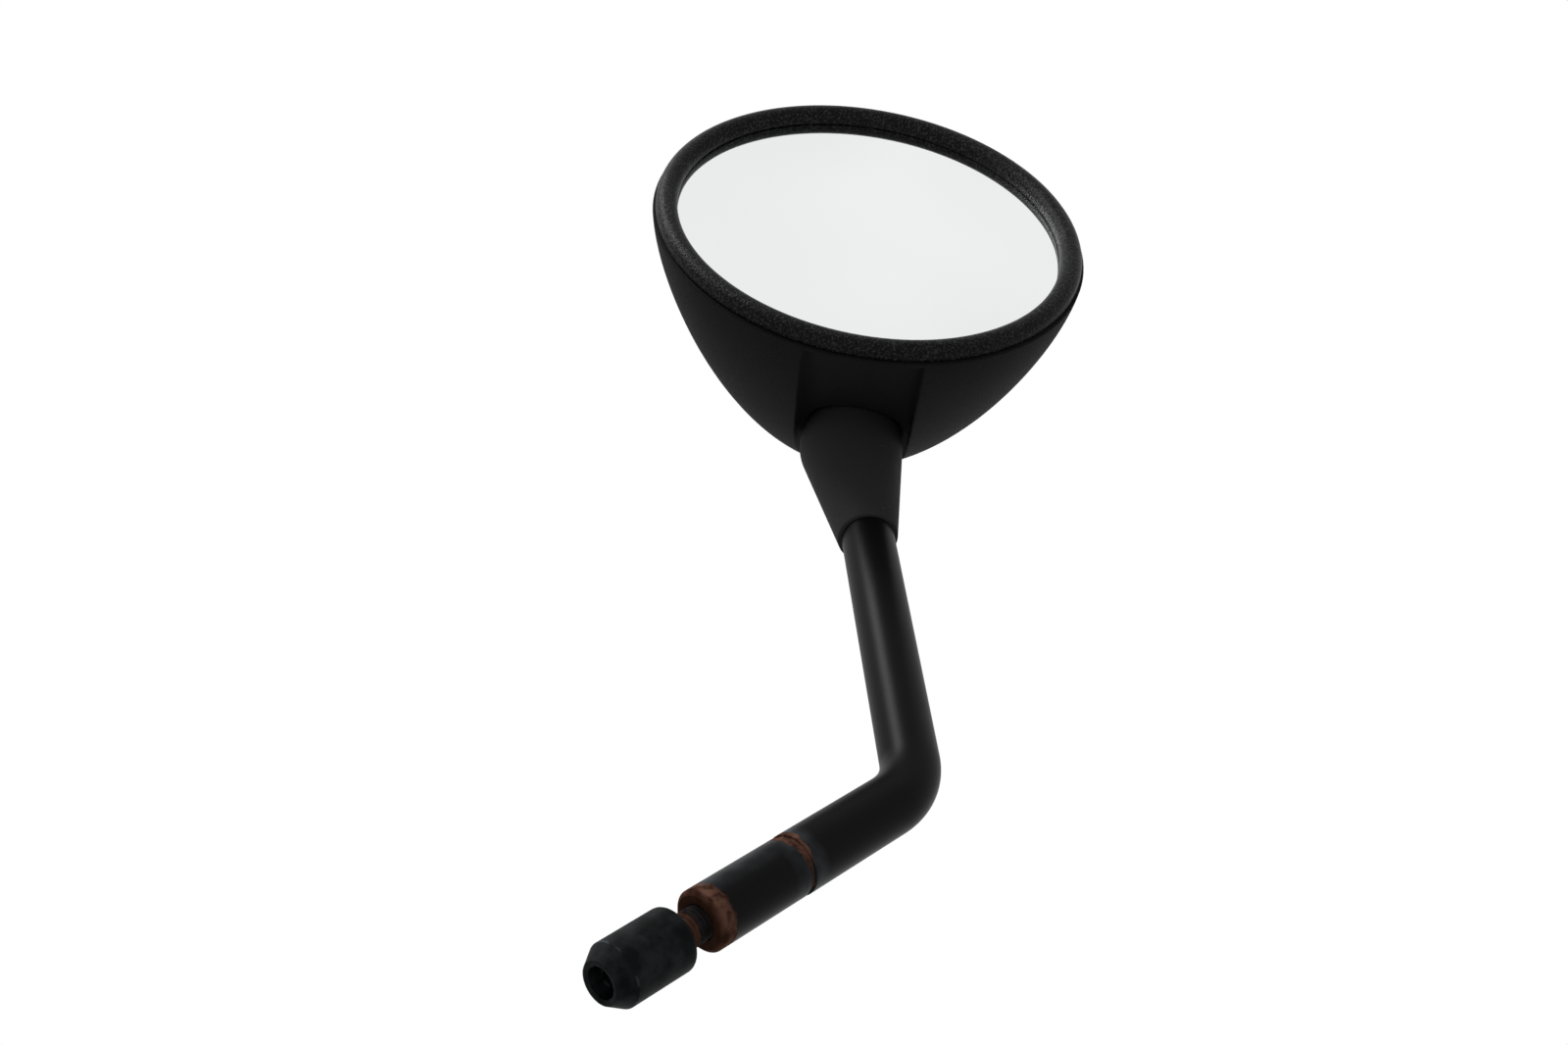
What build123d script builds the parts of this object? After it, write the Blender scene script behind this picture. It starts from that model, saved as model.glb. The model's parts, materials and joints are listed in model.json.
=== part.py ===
from build123d import *

import os
from math import acos, asin, atan2, cos, degrees, hypot, radians, sin, tan

# A left-hand motorcycle mirror. Millimetres. The origin is on the axis of the stem, at the middle
# of the turned land that its clamp grips. +Z runs up that axis, the glass faces -Y, towards the
# rider, and the stem leans to -X.

# Stem: round rod with a turned land and a groove at its foot, one bend and a threaded spigot at its top
LAND_DIAMETER = 14.0
LAND_LENGTH = 26.0
END_CHAMFER = 1.0
GROOVE_WIDTH = 1.6
GROOVE_DEPTH = 0.4
ROD_DIAMETER = 14.2
CORNER_HEIGHT = 56.7
BEND_ANGLE = 47.6
BEND_RADIUS = 22.0
CORNER_TO_PIVOT = 141.2
PIVOT_TO_SHOULDER = 22.0
SPIGOT_DIAMETER = 10.0

# Clamp bolt: long round head with a conical nose, screwed into the foot of the stem
BOLT_THREAD_DIAMETER = 8.0
BOLT_ENGAGEMENT = 16.0
BOLT_HOLE_SPARE = 4.0
BOLT_SHANK_SHOWING = 7.1
BOLT_HEAD_DIAMETER = 14.4
BOLT_HEAD_LENGTH = 20.4
BOLT_NOSE_LENGTH = 3.8
BOLT_NOSE_FACE_DIAMETER = 9.6
BOLT_INNER_ROUND = 1.2
HEX_ACROSS_FLATS = 7.0
HEX_DEPTH = 9.0

# Rubber boot: a dome about the ball's centre that runs into a cone, with a collar on the rod
DOME_RADIUS = 14.7
BOOT_WALL = 2.2
BOOT_REACH = 43.9
BOOT_LIP_DIAMETER = 16.2
BOOT_COLLAR = 5.0

# Ball joint on the axis of the leaning leg, as large as the boot's lining leaves room for
CLEARANCE = 0.3
BOOT_GAP = 1.3
NECK_DIAMETER = 6.6
STUD_LEAN = 19.0
SEAT_WALL = 1.5
SEAT_GAP = 12.0
SOCKET_WALL = 1.4
SOCKET_FLOOR = 2.0
SOCKET_TOP_DROP = 1.0
SOCKET_NECK_DIAMETER = 16.4
CAP_WALL = 1.2
CAP_RISE = 0.9
CAP_SIDE = 5.0
JOINT_WALLS = SEAT_WALL + SOCKET_WALL + CAP_WALL + 2 * CLEARANCE
BALL_DIAMETER = 2 * (DOME_RADIUS - BOOT_WALL - BOOT_GAP - JOINT_WALLS)
CAP_HEIGHT = BALL_DIAMETER / 2 + CAP_RISE
CAP_SKIRT = 8.0
CAP_BEVEL = CAP_HEIGHT - CAP_SIDE
SPRING_HEIGHT = 1.6
SPRING_THICKNESS = 0.8
SPRING_BORE = 8.0
STUD_DIAMETER = 8.0
STUD_COLLAR_DIAMETER = 12.0
STUD_COLLAR_THICKNESS = 2.0
STUD_TIP_CHAMFER = 0.8
STUD_SPARE_THREAD = 2.0
WASHER_DIAMETER = 16.0
WASHER_THICKNESS = 1.5
NUT_ACROSS_FLATS = 13.0
NUT_HEIGHT = 6.5
NUT_CHAMFER = 0.6

# Head: its tilt and its place round the ball, then the oval of its rim
HEAD_TILT = 11.1
PIVOT_ACROSS = 28.2
PIVOT_BELOW = 29.0
PIVOT_BEHIND = 48.8
OVAL = 0.929
BEZEL_RADIUS = 62.8

# Bezel: rounded lip above the seam and a skirt inside the housing
LIP_WIDTH = 6.2
LIP_HEIGHT = 4.0
LIP_ROUND = 3.05
LIP_BASE = -0.9
SKIRT_SETBACK = 3.2
SKIRT_WALL = 1.9
SKIRT_DEPTH = 6.5
SPIGOT_RING_WALL = 1.1
SPIGOT_RING_DEPTH = 2.5

# Glass, foam pad and carrier plate, trapped between the bezel's lip and the ribs of the housing
GLASS_RADIUS_OF_CURVE = 1200.0
GLASS_THICKNESS = 2.0
PAD_THICKNESS = 1.5
PAD_SETBACK = 2.0
PAD_FILM = 0.2
CARRIER_THICKNESS = 2.0
CARRIER_WALL = 2.0
CARRIER_DEPTH = 4.0
EDGE_CLEARANCE = 0.25
GLASS_SEAT_GAP = 0.1

# Housing: a deep bowl, (depth / D) ** p + (radius / R) ** q = 1, with a recess for the boot
SEAM = 0.5
RIM_OVERHANG = 0.8
HOUSING_RADIUS = BEZEL_RADIUS + RIM_OVERHANG
HOUSING_DEPTH = 80.3
HOUSING_WALL = 2.4
RECESS_WALL = 1.8
BOWL_DEPTH_POWER = 1.377
BOWL_RADIUS_POWER = 1.755
BOWL_STEPS = (0, 12, 24, 36, 48, 60, 70, 80, 87)
RIM_FLANGE = 1.0
RECESS_TURN = -10.7
RECESS_OFFSET = -0.5
RECESS_SLOPE = 27.8
RECESS_HALF_WIDTH = 16.2
RECESS_TOP_CORNER = 3.0
RECESS_END_CORNER = 16.0
POCKET_CLEARANCE = 1.0
STUD_PAD_DIAMETER = 18.0
STUD_PAD_THICKNESS = 4.0
RIB_COUNT = 6
RIB_THICKNESS = 2.0
RIB_LENGTH = 16.0
RIB_HEIGHT = 8.0
RIB_SPREAD = 300.0

# Directions and places worked out from the sizes above
lean = radians(BEND_ANGLE)
tilt = radians(HEAD_TILT)
leg_up = Vector(-sin(lean), 0, cos(lean))
leg_side = Vector(cos(lean), 0, sin(lean))
land_top = LAND_LENGTH / 2
groove_top = land_top + GROOVE_WIDTH
foot = -land_top - END_CHAMFER
corner = Vector(0, 0, CORNER_HEIGHT)
pivot = corner + leg_up * CORNER_TO_PIVOT
shoulder = pivot - leg_up * PIVOT_TO_SHOULDER
leg_axis = Axis(pivot, leg_up)
joint = Plane(pivot, x_dir=leg_side, z_dir=(0, -1, 0))

glass_normal = Vector(0, -cos(tilt), -sin(tilt))
head_up = Vector(0, -sin(tilt), cos(tilt))
head_right = Vector(1, 0, 0)
head_centre = pivot - head_right * PIVOT_ACROSS + head_up * PIVOT_BELOW + glass_normal * PIVOT_BEHIND
head = Plane(head_centre, x_dir=head_right, z_dir=glass_normal)
head_axis = Axis(head_centre, glass_normal)

# The recess is drawn square to the glass, turned a little from the stem's direction
stem_down = leg_up * -1
stem_plan = (stem_down - glass_normal * stem_down.dot(glass_normal)).normalized()
recess_turn = radians(RECESS_TURN)
recess_out = stem_plan * cos(recess_turn) + glass_normal.cross(stem_plan) * sin(recess_turn)
recess_side = glass_normal.cross(recess_out)
recess = Plane(head_centre, x_dir=recess_out, z_dir=glass_normal)
recess_axis = Axis(head_centre, recess_out)
recess_middle = (pivot - head_centre).dot(recess_side) + RECESS_OFFSET
recess_bearing = degrees(atan2(recess_out.dot(head_up), recess_out.dot(head_right)))

rod_radius = ROD_DIAMETER / 2
ball_radius = BALL_DIAMETER / 2
neck_radius = NECK_DIAMETER / 2
stud_radius = STUD_DIAMETER / 2
seat_inner = ball_radius + CLEARANCE
seat_outer = seat_inner + SEAT_WALL
socket_bore = seat_outer + CLEARANCE
socket_radius = socket_bore + SOCKET_WALL
cap_radius = socket_radius + CAP_WALL
seat_base = -seat_inner - SEAT_WALL
socket_floor = seat_base - SPRING_HEIGHT
socket_base = socket_floor - SOCKET_FLOOR
boot_inner = DOME_RADIUS - BOOT_WALL
pocket_radius = DOME_RADIUS + POCKET_CLEARANCE
collar_top = pocket_radius + STUD_COLLAR_THICKNESS
pad_top = collar_top + STUD_PAD_THICKNESS
nut_base = pad_top + WASHER_THICKNESS
stud_tip = nut_base + NUT_HEIGHT + STUD_SPARE_THREAD

bezel_short = BEZEL_RADIUS * OVAL
skirt_long = BEZEL_RADIUS - SKIRT_SETBACK
skirt_short = bezel_short - SKIRT_SETBACK
glass_long = skirt_long - SKIRT_WALL - EDGE_CLEARANCE
glass_short = skirt_short - SKIRT_WALL - EDGE_CLEARANCE
glass_crown = glass_long**2 / (2 * GLASS_RADIUS_OF_CURVE)
lip_crown = (bezel_short - LIP_WIDTH) ** 2 / (2 * GLASS_RADIUS_OF_CURVE)
glass_front = LIP_BASE + lip_crown - GLASS_SEAT_GAP
pad_front = glass_front - GLASS_THICKNESS - PAD_FILM
carrier_front = pad_front - PAD_THICKNESS - PAD_FILM
carrier_base = carrier_front - glass_crown - CARRIER_THICKNESS - CARRIER_DEPTH / 2
rim = LIP_BASE - SEAM

# The recess's wall clears the back edge of the glass
glass_reach = hypot(glass_long * recess_out.dot(head_right), glass_short * recess_out.dot(head_up))
glass_back = glass_front - glass_crown - GLASS_THICKNESS
recess_slope = tan(radians(RECESS_SLOPE))
recess_floor = glass_reach + CLEARANCE + RECESS_WALL - recess_slope * glass_back
recess_end = -HOUSING_DEPTH - PIVOT_BEHIND


def polar(radius, angle):
    """Point at a radius from the ball's centre and an angle from the axis, up the leg."""
    return (radius * sin(radians(angle)), radius * cos(radians(angle)))


def opening(radius):
    """Half angle of a mouth at this radius that lets the stud's neck lean."""
    return degrees(asin(neck_radius / radius)) + STUD_LEAN


def tangent_angle(radius, point):
    """Angle from the axis at which a line from a point on the boot touches a ball of this radius."""
    side, height = point
    return 180 - degrees(atan2(side, -height) + acos(radius / hypot(side, height)))


def bowl(radius, depth):
    """Solid oval bowl below the plane Z = 0, long across X."""
    with BuildPart() as solid:
        for step in BOWL_STEPS:
            ring = radius * cos(radians(step)) ** (2 / BOWL_RADIUS_POWER)
            with BuildSketch(Plane.XY.offset(-depth * sin(radians(step)) ** (2 / BOWL_DEPTH_POWER))):
                Ellipse(ring, ring * OVAL)
        loft()
    return solid.part


def recess_tool(top, grow):
    """The recess from a height over the glass plane to past the bowl, grown by a wall."""
    run = 2 * HOUSING_RADIUS
    with BuildPart() as solid:
        for height, rounding in ((top, RECESS_TOP_CORNER), (recess_end, RECESS_END_CORNER)):
            floor = recess_floor + recess_slope * height - grow
            with BuildSketch(recess.offset(height)):
                with Locations((floor + run / 2, recess_middle)):
                    Rectangle(run, 2 * (RECESS_HALF_WIDTH + grow))
                fillet(vertices().group_by(recess_axis)[0], rounding + grow)
        loft()
    return solid.part


def dished_disc(long_radius, short_radius, front, thickness):
    """Oval disc with the glass's curve on both faces, its front middle at this height."""
    outer = GLASS_RADIUS_OF_CURVE + front - glass_front
    with BuildPart() as solid:
        with BuildSketch(head.offset(front)):
            Ellipse(long_radius, short_radius)
        extrude(amount=-2 * (thickness + glass_crown))
        with Locations(head.offset(glass_front - GLASS_RADIUS_OF_CURVE)):
            Sphere(outer, mode=Mode.INTERSECT)
            Sphere(outer - thickness, mode=Mode.SUBTRACT)
    return solid.part


os.makedirs("parts", exist_ok=True)

# Stem
with BuildPart() as stem:
    with BuildSketch(Plane.XY.offset(foot)):
        Circle(LAND_DIAMETER / 2)
    extrude(amount=LAND_LENGTH + END_CHAMFER)
    chamfer(stem.edges().sort_by(Axis.Z)[0], END_CHAMFER)
    with BuildLine() as rod_line:
        FilletPolyline((0, 0, groove_top), corner, shoulder, radius=BEND_RADIUS)
    with BuildSketch(Plane.XY.offset(land_top)):
        Circle(LAND_DIAMETER / 2 - GROOVE_DEPTH)
    extrude(amount=GROOVE_WIDTH)
    with BuildSketch(Plane.XY.offset(groove_top)):
        Circle(rod_radius)
    sweep(path=rod_line.wires()[0])
    with BuildSketch(Plane(shoulder, z_dir=leg_up)):
        Circle(SPIGOT_DIAMETER / 2)
    extrude(amount=PIVOT_TO_SHOULDER + socket_base)
    with BuildSketch(Plane.XY.offset(foot)):
        Circle(BOLT_THREAD_DIAMETER / 2)
    extrude(amount=BOLT_ENGAGEMENT + BOLT_HOLE_SPARE, mode=Mode.SUBTRACT)
stem.part.label = "stem"
export_step(stem.part, "parts/stem.step")

# Clamp bolt
bolt_head_top = foot - BOLT_SHANK_SHOWING
bolt_nose = bolt_head_top - BOLT_HEAD_LENGTH
with BuildPart() as clamp_bolt:
    with BuildSketch(Plane.XY.offset(bolt_nose)):
        Circle(BOLT_HEAD_DIAMETER / 2)
    extrude(amount=BOLT_HEAD_LENGTH)
    fillet(clamp_bolt.edges().sort_by(Axis.Z)[-1], BOLT_INNER_ROUND)
    nose_inset = (BOLT_HEAD_DIAMETER - BOLT_NOSE_FACE_DIAMETER) / 2
    side_face = clamp_bolt.faces().filter_by(GeomType.CYLINDER)[0]
    chamfer(clamp_bolt.edges().sort_by(Axis.Z)[0], BOLT_NOSE_LENGTH, nose_inset, reference=side_face)
    with BuildSketch(Plane.XY.offset(bolt_head_top)):
        Circle(BOLT_THREAD_DIAMETER / 2)
    extrude(amount=BOLT_SHANK_SHOWING + BOLT_ENGAGEMENT)
    with BuildSketch(Plane.XY.offset(bolt_nose)):
        RegularPolygon(HEX_ACROSS_FLATS / 2, side_count=6, major_radius=False)
    extrude(amount=HEX_DEPTH, mode=Mode.SUBTRACT)
clamp_bolt.part.label = "clamp_bolt"
export_step(clamp_bolt.part, "parts/clamp_bolt.step")

# Boot: dome and cone outside, the same shape a wall smaller inside
lip = (BOOT_LIP_DIAMETER / 2, -BOOT_REACH)
collar_end = (rod_radius, BOOT_COLLAR - BOOT_REACH)
dome_end = tangent_angle(DOME_RADIUS, lip)
lining_end = tangent_angle(boot_inner, collar_end)
mouth = opening(boot_inner)
with BuildPart() as boot:
    with BuildSketch(joint):
        with BuildLine():
            CenterArc((0, 0), DOME_RADIUS, 90 - dome_end, dome_end - mouth)
            Polyline(polar(DOME_RADIUS, dome_end), lip, (rod_radius, -BOOT_REACH), collar_end)
            Line(collar_end, polar(boot_inner, lining_end))
            CenterArc((0, 0), boot_inner, 90 - lining_end, lining_end - mouth)
            Line(polar(boot_inner, mouth), polar(DOME_RADIUS, mouth))
        make_face()
    revolve(axis=leg_axis)
boot.part.label = "boot"
export_step(boot.part, "parts/boot.step")

# Socket body: cup for the seats, screwed on the stem's spigot
with BuildPart() as socket_body:
    with BuildSketch(joint):
        with BuildLine():
            Polyline(
                (socket_bore, -SOCKET_TOP_DROP),
                (socket_radius, -SOCKET_TOP_DROP),
                (socket_radius, socket_base),
                (SOCKET_NECK_DIAMETER / 2, socket_base - socket_radius + SOCKET_NECK_DIAMETER / 2),
                (SOCKET_NECK_DIAMETER / 2, -PIVOT_TO_SHOULDER),
                (SPIGOT_DIAMETER / 2, -PIVOT_TO_SHOULDER),
                (SPIGOT_DIAMETER / 2, socket_base),
                (0, socket_base),
                (0, socket_floor),
                (socket_bore, socket_floor),
                close=True,
            )
        make_face()
    revolve(axis=leg_axis)
socket_body.part.label = "socket_body"
export_step(socket_body.part, "parts/socket_body.step")

# Socket cap: closes the cup over the ball, with a mouth for the leaning neck
cap_mouth = opening(socket_bore)
neck_sweep = CAP_HEIGHT * tan(radians(STUD_LEAN)) + neck_radius / cos(radians(STUD_LEAN)) + CLEARANCE
with BuildPart() as socket_cap:
    with BuildSketch(joint):
        with BuildLine():
            CenterArc((0, 0), socket_bore, 0, 90 - cap_mouth)
            Polyline(
                (socket_bore, 0),
                (socket_bore, -SOCKET_TOP_DROP),
                (socket_radius, -SOCKET_TOP_DROP),
                (socket_radius, -CAP_SKIRT),
                (cap_radius, -CAP_SKIRT),
                (cap_radius, CAP_HEIGHT - CAP_BEVEL),
                (cap_radius - CAP_BEVEL, CAP_HEIGHT),
                (neck_sweep, CAP_HEIGHT),
                polar(socket_bore, cap_mouth),
            )
        make_face()
    revolve(axis=leg_axis)
socket_cap.part.label = "socket_cap"
export_step(socket_cap.part, "parts/socket_cap.step")

# Lower seat: nylon cup under the ball
lower_angle = degrees(asin(CLEARANCE / seat_inner))
with BuildPart() as lower_seat:
    with BuildSketch(joint):
        with BuildLine():
            CenterArc((0, 0), seat_inner, -90, 90 - lower_angle)
            Polyline(
                polar(seat_inner, 90 + lower_angle),
                (seat_outer, -CLEARANCE),
                (seat_outer, seat_base),
                (0, seat_base),
                (0, -seat_inner),
            )
        make_face()
    revolve(axis=leg_axis)
lower_seat.part.label = "lower_seat"
export_step(lower_seat.part, "parts/lower_seat.step")

# Upper seat: nylon ring between ball and cap, a zone of a sphere inside and out
seat_mouth = opening(seat_inner)
seat_end = 90 - SEAT_GAP
with BuildPart() as upper_seat:
    with BuildSketch(joint):
        with BuildLine():
            CenterArc((0, 0), seat_inner, 90 - seat_end, seat_end - seat_mouth)
            CenterArc((0, 0), seat_outer, 90 - seat_end, seat_end - seat_mouth)
            Line(polar(seat_inner, seat_mouth), polar(seat_outer, seat_mouth))
            Line(polar(seat_inner, seat_end), polar(seat_outer, seat_end))
        make_face()
    revolve(axis=leg_axis)
upper_seat.part.label = "upper_seat"
export_step(upper_seat.part, "parts/upper_seat.step")

# Seat spring: one disc spring under the lower seat
spring_edge = seat_outer
spring_top = seat_base - CLEARANCE / 3
with BuildPart() as seat_spring:
    with BuildSketch(joint):
        with BuildLine():
            Polyline(
                (spring_edge, socket_floor),
                (spring_edge, socket_floor + SPRING_THICKNESS),
                (SPRING_BORE / 2, spring_top),
                (SPRING_BORE / 2, spring_top - SPRING_THICKNESS),
                close=True,
            )
        make_face()
    revolve(axis=leg_axis)
seat_spring.part.label = "seat_spring"
export_step(seat_spring.part, "parts/seat_spring.step")

# Ball stud: ball, neck, collar and threaded shank
neck_angle = degrees(asin(neck_radius / ball_radius))
with BuildPart() as ball_stud:
    with BuildSketch(joint):
        with BuildLine():
            CenterArc((0, 0), ball_radius, -90, 180 - neck_angle)
            Polyline(
                polar(ball_radius, neck_angle),
                (neck_radius, collar_top - STUD_COLLAR_THICKNESS),
                (STUD_COLLAR_DIAMETER / 2, collar_top - STUD_COLLAR_THICKNESS),
                (STUD_COLLAR_DIAMETER / 2, collar_top),
                (stud_radius, collar_top),
                (stud_radius, stud_tip - STUD_TIP_CHAMFER),
                (stud_radius - STUD_TIP_CHAMFER, stud_tip),
                (0, stud_tip),
                (0, -ball_radius),
            )
        make_face()
    revolve(axis=leg_axis)
ball_stud.part.label = "ball_stud"
export_step(ball_stud.part, "parts/ball_stud.step")

# Washer and nut that hold the stud in the housing
with BuildPart() as stud_washer:
    with BuildSketch(Plane(pivot + leg_up * pad_top, x_dir=leg_side, z_dir=leg_up)):
        Circle(WASHER_DIAMETER / 2)
        Circle(stud_radius + CLEARANCE, mode=Mode.SUBTRACT)
    extrude(amount=WASHER_THICKNESS)
stud_washer.part.label = "stud_washer"
export_step(stud_washer.part, "parts/stud_washer.step")

nut_corner = NUT_ACROSS_FLATS / (2 * cos(radians(30))) + CLEARANCE
nut_round = nut_corner - NUT_CHAMFER * tan(radians(60))
with BuildPart() as stud_nut:
    with BuildSketch(Plane(pivot + leg_up * nut_base, x_dir=leg_side, z_dir=leg_up)):
        RegularPolygon(NUT_ACROSS_FLATS / 2, side_count=6, major_radius=False)
    extrude(amount=NUT_HEIGHT)
    with BuildSketch(joint):
        with BuildLine():
            Polyline(
                (0, nut_base),
                (nut_round, nut_base),
                (nut_corner, nut_base + NUT_CHAMFER),
                (nut_corner, nut_base + NUT_HEIGHT - NUT_CHAMFER),
                (nut_round, nut_base + NUT_HEIGHT),
                (0, nut_base + NUT_HEIGHT),
                close=True,
            )
        make_face()
    revolve(axis=leg_axis, mode=Mode.INTERSECT)
    with BuildSketch(Plane(pivot + leg_up * nut_base, x_dir=leg_side, z_dir=leg_up)):
        Circle(stud_radius)
    extrude(amount=NUT_HEIGHT, mode=Mode.SUBTRACT)
stud_nut.part.label = "stud_nut"
export_step(stud_nut.part, "parts/stud_nut.step")

# Bezel: its skirt is cut away where the recess comes inside the housing
skirt_notch = recess_tool(LIP_BASE, RECESS_WALL + CLEARANCE)
with BuildPart() as bezel:
    with BuildSketch(head.offset(LIP_BASE)):
        Ellipse(skirt_long, skirt_short)
        Ellipse(skirt_long - SKIRT_WALL, skirt_short - SKIRT_WALL, mode=Mode.SUBTRACT)
    extrude(amount=-SKIRT_DEPTH)
    with BuildSketch(head.offset(LIP_BASE)):
        Ellipse(skirt_long + SPIGOT_RING_WALL, skirt_short + SPIGOT_RING_WALL)
        Ellipse(skirt_long, skirt_short, mode=Mode.SUBTRACT)
    extrude(amount=-SPIGOT_RING_DEPTH)
    add(skirt_notch, mode=Mode.SUBTRACT)
    with BuildSketch(head.offset(LIP_BASE)):
        Ellipse(BEZEL_RADIUS, bezel_short)
        Ellipse(BEZEL_RADIUS - LIP_WIDTH, bezel_short - LIP_WIDTH, mode=Mode.SUBTRACT)
    extrude(amount=LIP_HEIGHT)
    fillet(bezel.faces().sort_by(head_axis)[-1].edges(), LIP_ROUND)
bezel.part.label = "bezel"
export_step(bezel.part, "parts/bezel.step")

# Glass and foam pad
pad_long = glass_long - PAD_SETBACK
pad_short = glass_short - PAD_SETBACK
glass_disc = dished_disc(glass_long, glass_short, glass_front, GLASS_THICKNESS)
pad_disc = dished_disc(pad_long, pad_short, pad_front, PAD_THICKNESS)
carrier_disc = dished_disc(glass_long, glass_short, carrier_front, CARRIER_THICKNESS)
with BuildPart() as mirror_glass:
    add(glass_disc)
mirror_glass.part.label = "mirror_glass"
export_step(mirror_glass.part, "parts/mirror_glass.step")

with BuildPart() as backing_pad:
    add(pad_disc)
backing_pad.part.label = "backing_pad"
export_step(backing_pad.part, "parts/backing_pad.step")

# Carrier plate: dished plate with a wall round its edge that stands on the housing's ribs
with BuildPart() as carrier_plate:
    add(carrier_disc)
    with BuildSketch(head.offset(carrier_base)):
        Ellipse(glass_long, glass_short)
        Ellipse(glass_long - CARRIER_WALL, glass_short - CARRIER_WALL, mode=Mode.SUBTRACT)
    extrude(amount=CARRIER_DEPTH)
    add(skirt_notch, mode=Mode.SUBTRACT)
carrier_plate.part.label = "carrier_plate"
export_step(carrier_plate.part, "parts/carrier_plate.step")

# Housing: the bowl less the recess and pocket, hollowed to leave walls, a pad and ribs
at_rim = head.offset(rim).location
inner_bowl = bowl(HOUSING_RADIUS - HOUSING_WALL, HOUSING_DEPTH - HOUSING_WALL).moved(at_rim)
outer_bowl = bowl(HOUSING_RADIUS, HOUSING_DEPTH).moved(at_rim)
recess_inside = recess_tool(0, RECESS_WALL)
recess_outside = recess_tool(rim - RIM_FLANGE, 0)
with BuildPart() as cavity:
    add(inner_bowl)
    add(recess_inside, mode=Mode.SUBTRACT)
    with Locations(Plane(pivot, z_dir=glass_normal * -1)):
        Sphere(pocket_radius + HOUSING_WALL, mode=Mode.SUBTRACT)
        Cylinder(
            pocket_radius + HOUSING_WALL,
            HOUSING_DEPTH,
            align=(Align.CENTER, Align.CENTER, Align.MIN),
            mode=Mode.SUBTRACT,
        )
    with BuildSketch(Plane(pivot, z_dir=leg_up)):
        Circle(STUD_PAD_DIAMETER / 2)
    extrude(amount=pad_top, mode=Mode.SUBTRACT)
    with Locations(head.offset(carrier_base)):
        with PolarLocations(
            HOUSING_RADIUS - RIB_LENGTH / 2,
            RIB_COUNT,
            start_angle=recess_bearing + (360 - RIB_SPREAD) / 2,
            angular_range=RIB_SPREAD,
            endpoint=True,
        ):
            Box(
                RIB_LENGTH,
                RIB_THICKNESS,
                RIB_HEIGHT,
                align=(Align.CENTER, Align.CENTER, Align.MAX),
                mode=Mode.SUBTRACT,
            )

with BuildPart() as housing:
    add(outer_bowl)
    add(recess_outside, mode=Mode.SUBTRACT)
    with Locations(Plane(pivot, z_dir=glass_normal * -1)):
        Sphere(pocket_radius, mode=Mode.SUBTRACT)
        Cylinder(
            pocket_radius,
            HOUSING_DEPTH,
            align=(Align.CENTER, Align.CENTER, Align.MIN),
            mode=Mode.SUBTRACT,
        )
    add(cavity.part, mode=Mode.SUBTRACT)
    with BuildSketch(Plane(pivot, z_dir=leg_up)):
        Circle(STUD_COLLAR_DIAMETER / 2 + CLEARANCE)
    extrude(amount=collar_top, mode=Mode.SUBTRACT)
    with BuildSketch(Plane(pivot, z_dir=leg_up)):
        Circle(stud_radius + CLEARANCE)
    extrude(amount=pad_top, mode=Mode.SUBTRACT)
housing.part.label = "housing"
export_step(housing.part, "parts/housing.step")
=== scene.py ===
import json
from math import cos, pi, radians, sin, tan

import bmesh
import bpy
import numpy as np
from mathutils import Matrix, Vector


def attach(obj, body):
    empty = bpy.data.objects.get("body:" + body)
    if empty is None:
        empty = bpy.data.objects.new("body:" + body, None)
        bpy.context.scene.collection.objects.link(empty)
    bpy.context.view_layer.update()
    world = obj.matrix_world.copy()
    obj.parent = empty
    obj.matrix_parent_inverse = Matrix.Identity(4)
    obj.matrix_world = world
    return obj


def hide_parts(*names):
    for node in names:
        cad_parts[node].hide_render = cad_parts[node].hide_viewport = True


bl_info = {
    "name": "Handlebar mirror",
    "version": (1, 0, 0),
    "blender": (4, 5, 0),
    "location": "View3D > Sidebar > Mirror",
    "description": "Dresses the mirror's solids with detailed pieces and finishes",
    "category": "Add Mesh",
}

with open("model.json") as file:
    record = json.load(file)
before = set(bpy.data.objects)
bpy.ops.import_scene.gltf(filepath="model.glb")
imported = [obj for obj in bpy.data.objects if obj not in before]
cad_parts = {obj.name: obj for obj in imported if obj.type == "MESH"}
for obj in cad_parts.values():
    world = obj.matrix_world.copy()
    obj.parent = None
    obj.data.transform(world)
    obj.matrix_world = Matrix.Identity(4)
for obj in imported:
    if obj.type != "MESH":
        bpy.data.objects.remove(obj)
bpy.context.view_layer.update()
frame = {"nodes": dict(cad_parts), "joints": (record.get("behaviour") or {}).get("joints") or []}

MM = 0.001
PIVOT = np.array(frame["joints"][0]["pos_m"])

# Side of the rod that the clamp rubbed most, and where the groove's rust spreads widest
WORN_SIDE = (-0.775, -0.632, 0.0)

# Meshes: points in a rounding, angle past which an edge stays sharp, distance in metres at which
# points merge, and length below which an edge is dropped
ROUNDING_POINTS = 6
SHARP_ANGLE = radians(32.0)
MERGE = 1e-6
SLIVER = 1e-7


def linear(hex_colour):
    """An sRGB hex colour as linear red, green, blue and alpha: a straight foot, then a power."""
    parts = np.array([int(hex_colour[i : i + 2], 16) for i in (1, 3, 5)]) / 255
    flat = np.where(parts <= 0.04045, parts / 12.92, ((parts + 0.055) / 1.055) ** 2.4)
    return (*flat.tolist(), 1.0)


def length(name, description, millimetres):
    """A length in metres, with its default written in millimetres."""
    return bpy.props.FloatProperty(
        name=name, description=description, default=millimetres * MM, unit="LENGTH", precision=5
    )


def lean(name, description, degrees):
    """An angle in radians, with its default written in degrees."""
    return bpy.props.FloatProperty(
        name=name, description=description, default=radians(degrees), subtype="ANGLE"
    )


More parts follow.
